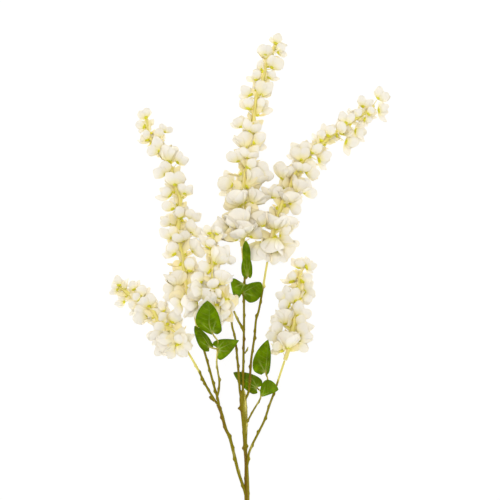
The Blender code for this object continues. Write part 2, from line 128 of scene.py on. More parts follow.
# Stems: the route of each, its radii and how ripe (brown) its bark is, both as rows of evenly
# spaced values from its foot to its end, and how many ribs it has. A knob has its height above
# the cut end along Y, its side (-1 left, 1 right) and its size.
STEMS = {
    "main_stem": {
        "route": [(0, 0, 4.7), (-1, 68, 8), (-3, 98, 10.5), (-4, 143, 15), (-7, 184, 20),
                  (-7, 197, 21.4)],
        "radii": (3.9, 4.1, 4.0, 3.5, 3.1, 2.9, 3.0, 3.6, 4.3, 5.1, 5.7, 5.8, 3.0),
        "ripeness": (0.9, 0.8, 0.7, 0.6, 0.5, 0.4), "ribs": 4,
        "knobs": [(22, 1, 0.3), (46, -1, 0.3), (76, 1, 0.3), (97, -1, 1.2), (102, 1, 1.1),
                  (126, -1, 0.25), (138, 1, 0.35), (166, -1, 2.0), (187, 1, 0.3)],
    },
    "left_branch": {
        "route": [(-1, 8, 5.5), (-4, 25, 7), (-15, 59, 11), (-28, 113, 17), (-36, 132, 19),
                  (-43, 158, 21.5), (-49, 173, 23)],
        "radii": (2.7, 3.0), "ripeness": (0.75, 0.62, 0.42, 0.5, 0.85, 0.85), "ribs": 3,
        "knobs": [(34, -1, 0.5), (58, 1, 0.4), (80, -1, 0.8), (99, 1, 0.5), (118, 1, 0.9),
                  (136, -1, 0.4), (152, -1, 0.9), (166, 1, 0.6)],
    },
    "left_leaf_stalk": {
        "route": [(-50, 186, 25.5), (-47, 198, 31), (-46, 214, 38), (-48, 228, 44), (-50, 247, 52),
                  (-48, 270, 60), (-47, 283, 64)],
        "radii": (2.1, 1.2), "ripeness": (0.45, 0.2), "ribs": 0,
        "knobs": [(200, -1, 0.5), (215, 1, 0.9), (236, -1, 0.5), (262, 1, 0.5), (269, -1, 0.9)],
    },
    "middle_leaf_stalk": {
        "route": [(-5, 338, 31), (-6, 352, 37), (-7, 364, 40.5), (-6, 376, 42.5), (-3, 384, 44)],
        "radii": (1.6, 1.2), "ripeness": (0.8, 0.5), "ribs": 0,
        "knobs": [(345, -1, 0.5), (360, -1, 1.1), (372, 1, 0.7)],
    },
    "right_leaf_stalk": {
        "route": [(-4, 138, 14.5), (2, 147, 20), (12, 166, 30), (22, 184, 38), (24, 195, 42),
                  (33, 210, 45), (34, 221, 46)],
        "radii": (1.8, 1.3), "ripeness": (0.42, 0.3), "ribs": 0,
        "knobs": [(145, 1, 0.7), (160, -1, 0.3), (178, 1, 0.4), (196, -1, 0.8), (214, 1, 0.5)],
    },
    "centre_twig": {
        "route": [(-4, 298, 30), (-9, 304, 30.5), (-15, 314, 32), (-22, 330, 36)],
        "radii": (2.4, 1.8), "ripeness": (0.7, 0.35), "ribs": 0,
        "knobs": [(303, -1, 0.7), (318, 1, 0.4)],
    },
    "centre_shoot": {
        "route": [(-4, 258, 27), (-1, 263, 28.5), (2, 270, 30)],
        "radii": (1.4, 0.8), "ripeness": (0.35, 0.2), "ribs": 0,
        "knobs": [(265, 1, 0.6)],
    },
    "left_stub": {
        "route": [(-54, 178, 23), (-59, 182, 24), (-63, 187, 25)],
        "radii": (2.0, 1.5), "ripeness": (0.8, 0.9), "ribs": 0,
        "knobs": [(184, -1, 0.4)],
    },
}

# Racemes: the stem that carries each, then its own axis. The stem's bark is pale above
# fresh_above, reach is how far the blossoms stand out from the axis at its foot and its tip,
# behind is how many of them stand behind, and buds is how many of the frame's buds they replace.
# Each blossom that shows from above has the x and y of its calyx, the x and y of its middle and
# its width, and its middle's height where that doesn't follow from its raceme's shape.
RACEMES = {
    "upper_left": {
        "stem_name": "left_inner_stem",
        "stem": [(-46, 164, 22), (-47, 174, 24), (-50, 187, 25.5), (-55, 204, 27), (-63, 234, 28.5),
                 (-71, 262, 29.5), (-83, 303, 30), (-88, 325, 30.5)],
        "axis": [(-92, 340, 31), (-102, 372, 31), (-107, 414, 30.5), (-115, 456, 29),
                 (-112, 513, 27), (-117, 528, 26), (-126, 563, 23), (-144, 599, 18),
                 (-149, 608, 16.5), (-163, 619, 15), (-167, 641, 12.5), (-170, 652, 11.5)],
        "knobs": [(182, -1, 0.5), (196, -1, 0.9), (208, 1, 0.8), (231, -1, 0.6), (246, 1, 0.5),
                  (268, 1, 0.6)],
        "fresh_above": 289, "reach": (32, 15), "behind": 26, "buds": 5, "seed": 723,
        "blossoms": [
            (-115, 362, -132, 361, 32), (-115, 369, -120, 386, 36), (-95, 397, -92, 409, 32),
            (-120, 424, -127, 434, 30), (-90, 429, -80, 436, 30), (-105, 444, -109, 459, 32),
            (-125, 448, -130, 463, 30), (-95, 456, -85, 468, 28), (-127, 476, -132, 484, 24),
            (-95, 479, -89, 491, 24), (-109, 484, -115, 496, 30), (-124, 498, -129, 508, 24),
            (-105, 519, -102, 534, 24), (-127, 521, -137, 529, 26), (-120, 541, -119, 553, 32),
            (-135, 556, -145, 566, 28), (-130, 573, -130, 593, 34), (-119, 574, -110, 584, 22),
            (-144, 593, -155, 605, 28), (-167, 615, -172, 623, 22), (-149, 616, -150, 628, 24),
            (-137, 630, -135, 636, 18), (-172, 638, -180, 643, 22), (-169, 653, -174, 661, 22),
        ],
    },
    "upper_middle": {
        "stem_name": "centre_stem",
        "stem": [(-7, 194, 21), (-6, 247, 26), (-5, 307, 30), (-5, 339, 31.5), (-4, 384, 33),
                 (-7, 422, 34)],
        "axis": [(-8, 436, 35), (-7, 473, 35), (-7, 514, 33), (-5, 548, 31), (2, 581, 28.5),
                 (7, 615, 26), (12, 658, 22), (17, 691, 19), (28, 721, 16), (32, 743, 14),
                 (42, 764, 12.5), (48, 776, 11)],
        "knobs": [(208, 1, 0.4), (226, -1, 0.6), (244, 1, 0.4), (268, -1, 0.5), (282, 1, 0.7),
                  (299, -1, 1.0), (322, 1, 0.5), (346, -1, 0.4)],
        "fresh_above": 382, "reach": (36, 13), "behind": 30, "buds": 5, "seed": 285,
        "blossoms": [
            (-4, 452, -12, 465, 36), (-2, 458, -2, 474, 36), (-28, 464, -45, 466, 36),
            (-8, 471, -15, 486, 44), (27, 471, 23, 486, 36), (5, 450, 13, 464, 32, 24),
            (-10, 509, -15, 521, 36), (8, 509, 17, 521, 36), (-25, 538, -38, 543, 32),
            (5, 539, 13, 554, 36), (18, 554, 32, 564, 30), (-15, 579, -18, 591, 30),
            (1, 583, 4, 596, 28), (-3, 601, -6, 614, 33), (10, 609, 21, 617, 32),
            (4, 627, 8, 641, 30), (-9, 636, -11, 648, 26), (2, 665, 5, 678, 26),
            (20, 665, 28, 675, 26), (5, 690, 0, 700, 26), (24, 690, 28, 702, 32),
            (15, 713, 13, 725, 22), (36, 718, 41, 727, 20), (27, 733, 21, 741, 20),
            (42, 737, 47, 747, 27), (30, 757, 31, 768, 25), (50, 763, 58, 769, 21),
            (48, 777, 53, 786, 22), (0, 565, 8, 577, 27),
        ],
    },
    "upper_right": {
        "stem_name": "right_centre_stem",
        "stem": [(-6, 160, 18), (-3, 180, 20), (3, 197, 22), (7, 247, 26), (10, 269, 27),
                 (13, 290, 28.5), (15, 314, 30), (20, 332, 31), (27, 371, 33), (31, 395, 34)],
        "axis": [(34, 412, 34), (42, 456, 34), (55, 498, 32), (72, 539, 29), (88, 573, 27),
                 (122, 606, 23), (164, 640, 18), (197, 660, 14), (214, 674, 12)],
        "knobs": [(214, 1, 0.5), (237, -1, 0.9), (262, 1, 0.4), (285, 1, 1.0), (296, -1, 0.5),
                  (321, -1, 0.9), (345, 1, 0.5), (371, 1, 1.2)],
        "fresh_above": 368, "reach": (31, 15), "behind": 28, "buds": 4, "seed": 188,
        "blossoms": [
            (50, 433, 54, 418, 28), (57, 441, 70, 432, 34), (27, 450, 20, 426, 44),
            (57, 455, 69, 455, 32), (46, 455, 45, 434, 40), (48, 462, 50, 482, 38),
            (62, 466, 69, 479, 34), (73, 508, 85, 506, 30), (67, 509, 70, 524, 34),
            (45, 518, 47, 531, 32), (92, 524, 105, 534, 30), (84, 528, 90, 539, 34),
            (58, 544, 62, 564, 34), (97, 559, 110, 565, 28), (88, 555, 92, 575, 32),
            (119, 581, 132, 583, 28), (90, 580, 91, 593, 30), (95, 593, 95, 606, 28),
            (110, 595, 115, 603, 28), (122, 611, 127, 623, 24), (164, 613, 177, 608, 28),
            (135, 621, 142, 631, 26), (157, 625, 164, 636, 30), (184, 630, 192, 630, 24),
            (164, 641, 167, 653, 24), (196, 650, 204, 649, 17), (178, 652, 184, 662, 22),
            (203, 659, 210, 664, 20), (222, 666, 231, 667, 23), (193, 668, 199, 681, 25),
            (218, 683, 227, 694, 25), (86, 583, 80, 596, 22),
        ],
    },
    "lower_left": {
        "stem_name": "left_outer_stem",
        "stem": [(-49, 173, 23), (-56, 183, 24), (-67, 202, 25.5), (-83, 234, 27), (-97, 258, 28)],
        "axis": [(-106, 272, 28), (-121, 294, 27.5), (-131, 300, 27), (-147, 311, 25),
                 (-161, 332, 22), (-197, 356, 15), (-211, 366, 12.5), (-216, 367, 12)],
        "knobs": [(186, -1, 0.6), (197, 1, 0.4), (208, -1, 0.8), (215, -1, 1.3), (228, 1, 0.7),
                  (237, -1, 0.6)],
        "fresh_above": 224, "reach": (29, 15), "behind": 12, "buds": 4, "seed": 271,
        "blossoms": [
            (-124, 271, -134, 262, 28), (-135, 274, -149, 272, 26), (-115, 274, -112, 261, 32),
            (-114, 277, -110, 287, 30), (-110, 277, -99, 279, 26), (-119, 282, -134, 277, 41),
            (-149, 286, -159, 289, 26), (-137, 292, -151, 298, 32), (-127, 304, -120, 322, 30),
            (-135, 312, -148, 322, 32), (-164, 322, -179, 324, 30), (-142, 331, -147, 336, 24),
            (-184, 332, -194, 336, 22), (-162, 334, -167, 349, 30), (-205, 344, -214, 346, 20),
            (-177, 346, -187, 354, 22), (-179, 352, -179, 364, 26), (-215, 364, -225, 366, 18),
            (-189, 364, -194, 372, 20), (-214, 367, -215, 381, 22),
        ],
    },
    "lower_right": {
        "stem_name": "right_branch",
        "stem": [(-1, 62, 8), (2, 78, 11), (3, 89, 13), (9, 105, 16), (18, 123, 18), (29, 146, 21),
                 (38, 173, 23), (46, 195, 25), (58, 232, 27)],
        "axis": [(63, 247, 27), (71, 273, 27), (79, 311, 25.5), (81, 331, 24), (86, 361, 20),
                 (87, 384, 16), (90, 393, 15)],
        "knobs": [(80, 1, 0.8), (103, 1, 0.7), (127, -1, 0.9), (149, 1, 0.9), (170, -1, 0.5),
                  (191, 1, 0.6)],
        "fresh_above": 208, "ripeness": (0.45, -0.15), "reach": (29, 15), "behind": 16,
        "buds": 4, "seed": 313,
        "blossoms": [
            (58, 272, 50, 276, 30), (68, 272, 68, 284, 36), (78, 277, 82, 291, 30),
            (85, 279, 99, 276, 28), (58, 287, 43, 297, 30), (87, 287, 100, 294, 30),
            (87, 301, 97, 312, 32), (65, 302, 63, 322, 34), (60, 306, 48, 316, 26),
            (85, 321, 92, 331, 30), (72, 337, 60, 342, 26), (82, 344, 75, 356, 28),
            (68, 349, 60, 359, 26), (95, 356, 100, 347, 26), (97, 362, 107, 366, 24),
            (92, 377, 99, 386, 24), (75, 379, 73, 387, 24), (87, 402, 88, 411, 23),
            (95, 399, 100, 413, 16), (100, 402, 108, 405, 22),
        ],
    },
    "inner_left": {
        "stem_name": "left_centre_stem",
        "stem": [(-7, 160, 18), (-10, 184, 21), (-12, 196, 23), (-14, 225, 29), (-16, 250, 35),
                 (-20, 287, 44), (-24, 302, 48)],
        "axis": [(-26, 316, 51), (-30, 335, 56), (-38, 354, 59), (-54, 376, 62), (-56, 394, 62.5),
                 (-57, 431, 62), (-56, 450, 61), (-59, 460, 60)],
        "knobs": [(212, -1, 0.5), (238, 1, 0.6), (252, -1, 0.4), (266, 1, 0.5), (290, -1, 0.4)],
        "fresh_above": 316, "reach": (27, 15), "behind": 16, "buds": 3, "seed": 237,
        "blossoms": [
            (-65, 329, -78, 322, 28), (-45, 331, -38, 319, 28), (-57, 337, -68, 342, 36, 58),
            (-42, 341, -33, 339, 32), (-50, 339, -55, 327, 36), (-84, 343, -97, 340, 36),
            (-47, 356, -40, 361, 27), (-72, 362, -87, 364, 38), (-74, 376, -85, 385, 30),
            (-68, 350, -62, 358, 28, 60), (-106, 343, -118, 339, 24), (-55, 367, -58, 381, 32),
            (-49, 371, -42, 388, 33), (-62, 396, -72, 402, 30), (-55, 407, -44, 421, 35),
            (-42, 414, -28, 422, 27), (-63, 438, -62, 446, 24), (-52, 454, -45, 464, 20),
            (-62, 459, -63, 466, 20), (-36, 351, -33, 341, 24, 58),
        ],
    },
}

# What the stems that carry racemes share, unless a raceme says otherwise.
RACEME_STEM = {"radii": (2.2, 1.9), "ripeness": (0.66, -0.15), "ribs": 0}

# Leaves, each on its stalk: the foot of its petiole, the base and tip of its blade, the blade's
# width and how it is shared between its left and right halves, its roll in degrees, how far its
# middle bows up, its edges rise and its midrib sways, how far its base reaches back, and how much
# it narrows at its waist. A low shoulder makes a half broad at the base and a low taper makes the
# blade broad at the tip.
LEAVES = {
    "left_leaf_upper": {
        "foot": (-47, 281, 63.4), "base": (-57, 295, 70), "tip": (-64.5, 348.5, 82), "width": 43,
        "halves": (1.07, 0.93), "roll": 8, "bow": 4, "fold": 3, "sway": -2, "lobe": 0.06,
        "shoulders": (0.85, 0.24), "taper": 0.80,
    },
    "left_leaf_outer": {
        "foot": (-48, 268, 59.6), "base": (-61, 271, 58), "tip": (-86, 306, 52), "width": 22,
        "halves": (1.40, 0.60), "roll": -20, "bow": 3, "fold": 3, "sway": 0, "lobe": 0.14,
        "shoulders": (0.25, 0.25), "taper": 0.70,
    },
    "left_leaf_inner": {
        "foot": (-48.3, 266, 58.8), "base": (-47, 268, 62), "tip": (-13, 283, 68), "width": 34,
        "halves": (0.85, 1.15), "roll": 14, "bow": 3, "fold": 3, "sway": 0, "lobe": 0.20,
        "shoulders": (0.12, 0.12), "taper": 0.90,
    },
    "middle_leaf_top": {
        "foot": (-3, 383, 44), "base": (1, 387, 46), "tip": (-2, 446, 76), "width": 19,
        "halves": (1.0, 1.0), "roll": 12, "bow": -2, "fold": 2, "sway": -0.5, "lobe": 0.05,
        "shoulders": (0.20, 0.20), "taper": 0.50, "waist": 0.25,
    },
    "middle_leaf_left": {
        "foot": (-6, 373, 42), "base": (-4, 375, 47), "tip": (-17.5, 346, 52), "width": 28,
        "halves": (0.3, 1.7), "roll": 2, "bow": 2, "fold": 2, "sway": 0, "lobe": 0.05,
        "shoulders": (0.10, 0.10), "taper": 0.85,
    },
    "middle_leaf_right": {
        "foot": (-6.5, 362, 40), "base": (-7, 361, 44), "tip": (24, 376.5, 40), "width": 33,
        "halves": (0.45, 1.5), "roll": 12, "bow": 3, "fold": 3, "sway": 0, "lobe": 0.10,
        "shoulders": (0.28, 0.25), "taper": 0.55,
    },
    "right_leaf_upper": {
        "foot": (34, 220, 46), "base": (31, 228, 47), "tip": (35, 283, 50), "width": 31,
        "halves": (1.6, 0.4), "roll": -12, "bow": 3, "fold": 3, "sway": 0, "lobe": 0.08,
        "shoulders": (0.30, 0.30), "taper": 0.75,
    },
    "right_leaf_lower": {
        "foot": (28, 203, 44), "base": (24, 189, 46), "tip": (52, 201, 54), "width": 25,
        "halves": (1.75, 0.25), "roll": 16, "bow": 2, "fold": 2, "sway": 0, "lobe": 0.05,
        "shoulders": (0.60, 0.60), "taper": 0.50,
    },
    "right_leaf_back": {
        "foot": (24, 196, 42.2), "base": (17, 199, 12), "tip": (-23, 225, 9), "width": 30,
        "halves": (0.9, 1.1), "roll": -8, "bow": 2, "fold": 3, "sway": 0, "lobe": 0.12,
        "shoulders": (0.20, 0.20), "taper": 0.75,
    },
}


# Settings

COLOUR = {"subtype": "COLOR", "min": 0.0, "max": 1.0}
DISTANCE = {"unit": "LENGTH", "subtype": "DISTANCE"}


class BlossomSettings(bpy.types.PropertyGroup):
    """Sizes and colours of the blossoms."""

    petal_thickness: FloatProperty(
        name="Petal Thickness", description="Thickness of a petal", default=0.0004, **DISTANCE
    )
    petal_colour: FloatVectorProperty(
        name="Petal", description="Cream of an open petal", default=(0.94, 0.885, 0.775), **COLOUR
    )
    # The shade colour is also painted shade: on the blossoms behind, beside the axis and on the
    # rims.
    shade_colour: FloatVectorProperty(
        name="Petal Shade", description="Warmer cream of older petals and rims",
        default=(0.95, 0.835, 0.52), **COLOUR
    )
    throat_colour: FloatVectorProperty(
        name="Throat", description="Yellow-green where a petal leaves its calyx",
        default=(0.95, 0.85, 0.36), **COLOUR
    )
    calyx_colour: FloatVectorProperty(
        name="Calyx", description="Lime of the small cup under the petals",
        default=(0.80, 0.76, 0.03), **COLOUR
    )
    pedicel_colour: FloatVectorProperty(
        name="Pedicel", description="Pale yellow-green of a raceme's axis and pedicels",
        default=(0.80, 0.71, 0.19), **COLOUR
    )


class StemSettings(bpy.types.PropertyGroup):
    """Roundness and colours of the stems."""

    sides: IntProperty(
        name="Sides", description="Sides of a stem before smoothing", default=10, min=6, max=24
    )
    olive_colour: FloatVectorProperty(
        name="Olive", description="Young bark", default=(0.235, 0.195, 0.004), **COLOUR
    )
    brown_colour: FloatVectorProperty(
        name="Brown", description="Ripe bark", default=(0.19, 0.115, 0.006), **COLOUR
    )


class LeafSettings(bpy.types.PropertyGroup):
    """Thickness and colours of the leaves."""

    thickness: FloatProperty(
        name="Thickness", description="Thickness of a blade", default=0.0005, **DISTANCE
    )
    blade_colour: FloatVectorProperty(
        name="Blade", description="Green between the veins", default=(0.10, 0.178, 0.0), **COLOUR
    )
    vein_colour: FloatVectorProperty(
        name="Veins", description="Yellow-green of the veins", default=(0.42, 0.47, 0.12), **COLOUR
    )


class StageSettings(bpy.types.PropertyGroup):
    """Light and camera."""

    lens: FloatProperty(
        name="Lens", description="Focal length", default=100.0, subtype="DISTANCE_CAMERA"
    )
    view_width: FloatProperty(
        name="View Width", description="Width that the camera takes in", default=0.835, **DISTANCE
    )
    key_power: FloatProperty(
        name="Key Light", description="Power of the large soft lamp", default=45.0,
        unit="POWER", subtype="POWER"
    )
    sky_strength: FloatProperty(
        name="Sky", description="Strength of the even light from above", default=0.02, min=0.0
    )
    side_strength: FloatProperty(
        name="Sides", description="Strength of the light that comes in low from all sides",
        default=2.0, min=0.0
    )


# Places and routes


def cut_end():
    """The frame's place of the main stem's cut end, in metres, at the surface's height."""
    corners = [vertex.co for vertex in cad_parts["main_stem"].data.vertices]
    first = min(corner.y for corner in corners)
    rim = [corner for corner in corners if corner.y < first + 1 * MM]
    return sum(rim, Vector()) / len(rim) - Vector((0, 0, CUT_HEIGHT * MM))


CUT_END = cut_end()


def place(point):
    """A place in millimetres from the cut end, in the frame's metres."""
    return CUT_END + Vector(point) * MM


def smooth_route(points, step):
    """Catmull-Rom curve through points, one list of curve points per stretch between two."""
    knots = [place(p) for p in points]
    knots = [2 * knots[0] - knots[1], *knots, 2 * knots[-1] - knots[-2]]
    stretches = []
    for before, start, end, after in zip(knots, knots[1:], knots[2:], knots[3:]):
        count = max(1, round((end - start).length / (step * MM)))
        stretch = []
        for number in range(count):
            t = number / count
            stretch.append(
                0.5 * (2 * start + (end - before) * t
                       + (2 * before - 5 * start + 4 * end - after) * t ** 2
                       + (3 * start - before - 3 * end + after) * t ** 3)
            )
        stretches.append(stretch)
    stretches.append([knots[-2].copy()])
    return stretches


def flatten(stretches):
    """One list of points from a list of stretches."""
    return [point for stretch in stretches for point in stretch]


def raceme_routes(raceme, step):
    """Routes of a raceme's stem and of its axis, on one smooth curve."""
    stretches = smooth_route(raceme["stem"] + raceme["axis"], step)
    fork = len(raceme["stem"])
    axis = flatten(stretches[fork:])
    return flatten(stretches[:fork]) + [axis[0]], axis


def lengths_along(route):
    """How far along a route each of its points is."""
    lengths = [0.0]
    for start, end in zip(route, route[1:]):
        lengths.append(lengths[-1] + (end - start).length)
    return lengths


def place_at(route, fraction):
    """Point and direction at a fraction of a route's length."""
    lengths = lengths_along(route)
    target = fraction * lengths[-1]
    i = next(i for i, reached in enumerate(lengths[1:]) if target <= reached)
    start, end = route[i], route[i + 1]
    share = (target - lengths[i]) / (lengths[i + 1] - lengths[i])
    return start.lerp(end, share), (end - start).normalized()


def nearest_on(route, x, y):
    """Index of the route's point that is nearest to a place seen from above."""
    return min(range(len(route)), key=lambda i: (route[i].x - x) ** 2 + (route[i].y - y) ** 2)


def frame_across(direction):
    """Two unit vectors across a direction, the second as near up as it can be."""
    side = direction.cross(Vector((0, 0, 1)))
    side = side.normalized() if side.length > 0.01 else Vector((1, 0, 0))
    return side, side.cross(direction)


def between(ends, share):
    """A value between two."""
    return ends[0] + (ends[1] - ends[0]) * share


def step_along(values, share):
    """A value at a share of the way through evenly spaced ones."""
    at = share * (len(values) - 1)
    first = min(int(at), len(values) - 2)
    return between(values[first:first + 2], at - first)


def smooth_step(share):
    """Eases a share from 0 to 1."""
    share = max(0.0, min(1.0, share))
    return share * share * (3 - 2 * share)


# Meshes


class Builder:
    """A bmesh with the layers that the materials read, and each stem vertex's turn round it."""

    def __init__(self):
        self.mesh = bmesh.new()
        self.turn = self.mesh.verts.layers.float.new("turn")
        self.along = self.mesh.verts.layers.float.new("along")
        self.across = self.mesh.verts.layers.float.new("across")
        self.tone = self.mesh.verts.layers.float.new("tone")

    def grid(self, columns, rows):
        """Vertices of a new flat grid, each with its place across from -1 to 1 and along from 0
        to 1."""
        made = bmesh.ops.create_grid(self.mesh, x_segments=columns, y_segments=rows, size=1.0)
        return [(vertex, vertex.co.x, 0.5 * (vertex.co.y + 1)) for vertex in made["verts"]]

    def make_piece(self, name, materials, slot, nodes=(), thickness=0.0):
        """Makes the object, with its modifiers and materials, and hands it to the frame."""
        mesh = bpy.data.meshes.new(name)
        if not thickness:
            bmesh.ops.recalc_face_normals(self.mesh, faces=self.mesh.faces)
        for face in self.mesh.faces:
            face.smooth = True
        self.mesh.to_mesh(mesh)
        self.mesh.free()
        for material in materials:
            mesh.materials.append(bpy.data.materials[material])
        obj = bpy.data.objects.new(name, mesh)
        bpy.context.scene.collection.objects.link(obj)
        if thickness:
            solidify = obj.modifiers.new("thickness", "SOLIDIFY")
            solidify.thickness = thickness
            solidify.offset = 0.0
        subdivide = obj.modifiers.new("smooth", "SUBSURF")
        subdivide.levels = 1
        subdivide.render_levels = 1
        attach(obj, "root")
        if nodes:
            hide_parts(*nodes)


def sweep(builder, route, sides, radius_at, tones=None, material=0, strand=0.0):
    """A closed stem along route. radius_at gives the radius for a share of its length, a
    distance along it and an angle round it; tones gives each point's tone, and strand how much
    the tone changes from side to side."""
    mesh = builder.mesh
    made = bmesh.ops.create_circle(mesh, cap_ends=True, segments=sides, radius=1.0)
    verts = made["verts"]
    for vertex in verts:
        vertex[builder.turn] = math.atan2(vertex.co.y, vertex.co.x)
    faces = [verts[0].link_faces[0]]
    edges = list(faces[0].edges)
    padded = [route[0], *route, route[-1]]
    lengths = lengths_along(route)
    for i, point in enumerate(route):
        if i:
            made = bmesh.ops.extrude_edge_only(mesh, edges=edges)["geom"]
            verts = [part for part in made if isinstance(part, bmesh.types.BMVert)]
            edges = [part for part in made if isinstance(part, bmesh.types.BMEdge)]
            edges = [edge for edge in edges if edge.is_boundary]
            faces += [part for part in made if isinstance(part, bmesh.types.BMFace)]
        side, up = frame_across((padded[i + 2] - padded[i]).normalized())
        share = i / (len(route) - 1)
        for vertex in verts:
            angle = vertex[builder.turn]
            radius = radius_at(share, lengths[i], angle) * MM
            vertex.co = point + radius * (math.cos(angle) * side + math.sin(angle) * up)
            vertex[builder.tone] = (tones[i] if tones else 0.5) - strand * math.cos(angle)
    faces += bmesh.ops.contextual_create(mesh, geom=edges)["faces"]
    for face in faces:
        face.material_index = material


def plain_taper(radii):
    """A radius that changes evenly from end to end."""
    return lambda share, length, angle: between(radii, share)


def bark_radius(radii, ribs, knobs, route):
    """Radius of a ribbed stem with one-sided knobs where old stalks left it."""
    lengths = lengths_along(route)
    marks = []
    for height, facing, size in knobs:
        level = place((0, height, 0)).y
        at = min(range(len(route)), key=lambda i: abs(route[i].y - level))
        marks.append((lengths[at], 0.0 if facing > 0 else math.pi, size))

    def radius_at(share, length, angle):
        groove = RIB_DEPTH * ribs * math.cos(ribs * angle + RIB_TWIST * length)
        swell = 0.0
        for spot, facing, size in marks:
            near = math.exp(-((length - spot) / (KNOB_LENGTH * MM)) ** 2)
            swell += near * size * (0.12 + 0.88 * max(0.0, math.cos(angle - facing)) ** 1.5)
        return step_along(radii, share) * (1 + groove) + KNOB_HEIGHT * swell

    return radius_at


def ripeness_along(route, look):
    """How ripe the bark is at each point: step by step from foot to end, or pale above a
    height."""
    values = look["ripeness"]
    if "fresh_above" not in look:
        return [step_along(values, i / (len(route) - 1)) for i in range(len(route))]
    start = place((0, look["fresh_above"], 0)).y - FADE_BELOW * MM
    return [between(values, smooth_step((point.y - start) / (FADE * MM))) for point in route]


# Materials


class NodeTree:
    """A node tree and short ways to add what the materials and the stage share. What goes into
    a node is a number, a colour or another node's socket."""

    def __init__(self, tree):
        self.nodes, self.links = tree.nodes, tree.links

    def feed(self, node, inputs):
        """Links or sets a node's inputs."""
        for key, value in inputs.items():
            socket = node.inputs[key]
            if isinstance(value, bpy.types.NodeSocket):
                self.links.new(value, socket)
            elif socket.type == "RGBA":
                socket.default_value = (*value, 1.0)
            else:
                socket.default_value = value

    def node(self, kind, inputs, **settings):
        """A new node with its settings and inputs."""
        node = self.nodes.new("ShaderNode" + kind)
        for name, value in settings.items():
            setattr(node, name, value)
        self.feed(node, inputs)
        return node

    def math(self, operation, *values):
        """One arithmetic node."""
        return self.node("Math", dict(enumerate(values)), operation=operation).outputs[0]

    def times(self, first, second):
        """Two values multiplied."""
        return self.math("MULTIPLY", first, second)

    def plus(self, first, second):
        """Two values added."""
        return self.math("ADD", first, second)

    def ramp(self, value, low, high):
        """Smooth step of a value from 0 at low to 1 at high."""
        inputs = {"Value": value, "From Min": low, "From Max": high}
        return self.node("MapRange", inputs, interpolation_type="SMOOTHSTEP").outputs["Result"]

    def mix(self, factor, first, second):
        """A colour between two."""
        return self.node("Mix", {0: factor, 6: first, 7: second}, data_type="RGBA").outputs[2]

    def layer(self, name):
        """One of the layers that Builder gives a mesh."""
        return self.node("Attribute", {}, attribute_name=name).outputs["Fac"]

    def mottle(self, scale, stretch=1.0):
        """The mottle group's broad and fine noise, with its own values."""
        node = self.node("Group", {}, node_tree=mottle_group())
        self.feed(node, {"Scale": scale, "Stretch": stretch})
        return node.outputs["Broad"], node.outputs["Fine"]

    def only_camera_sees(self, seen, lit, output):
        """Shows the camera one shader and gives all other light another."""
        path = self.node("LightPath", {})
        inputs = {"Fac": path.outputs["Is Camera Ray"], 1: lit.outputs[0], 2: seen.outputs[0]}
        choice = self.node("MixShader", inputs)
        self.feed(self.nodes[output], {"Surface": choice.outputs[0]})


class Finish(NodeTree):
    """A material's tree, with its shader."""

    def __init__(self, name):
        self.material = bpy.data.materials.new(name)
        self.material.use_nodes = True
        super().__init__(self.material.node_tree)
        self.shader = self.nodes["Principled BSDF"]

    def surface(self, values, height, strength, distance):
        """Feeds the shader its values, and a height through a Bump node."""
        bump = self.node("Bump", {"Height": height, "Strength": strength, "Distance": distance})
        self.feed(self.shader, {**values, "Normal": bump.outputs["Normal"]})


def mottle_group():
    """Two sizes of soft noise in Object coordinates, stretched along the stems by Stretch."""
    existing = bpy.data.node_groups.get("mottle")
    if existing:
        return existing
    group = bpy.data.node_groups.new("mottle", "ShaderNodeTree")
    for name, default in (("Scale", 60.0), ("Stretch", 1.0)):
        socket = group.interface.new_socket(name, in_out="INPUT", socket_type="NodeSocketFloat")
        socket.default_value = default
    for name in ("Broad", "Fine"):
        group.interface.new_socket(name, in_out="OUTPUT", socket_type="NodeSocketFloat")
    tree = NodeTree(group)
    source = tree.nodes.new("NodeGroupInput")
    target = tree.nodes.new("NodeGroupOutput")
    places = tree.node("TexCoord", {}).outputs["Object"]
    stretch = tree.node("CombineXYZ", {"X": 1.0, "Y": source.outputs["Stretch"], "Z": 1.0})
    scaled = tree.node("VectorMath", {0: places, 1: stretch.outputs[0]}, operation="MULTIPLY")
    for name, factor in (("Broad", 1.0), ("Fine", 5.0)):
        scale = tree.times(source.outputs["Scale"], factor)
        noise = tree.node("TexNoise", {"Vector": scaled.outputs[0], "Scale": scale, "Detail": 3.0})
        tree.feed(target, {name: noise.outputs["Fac"]})
    return group


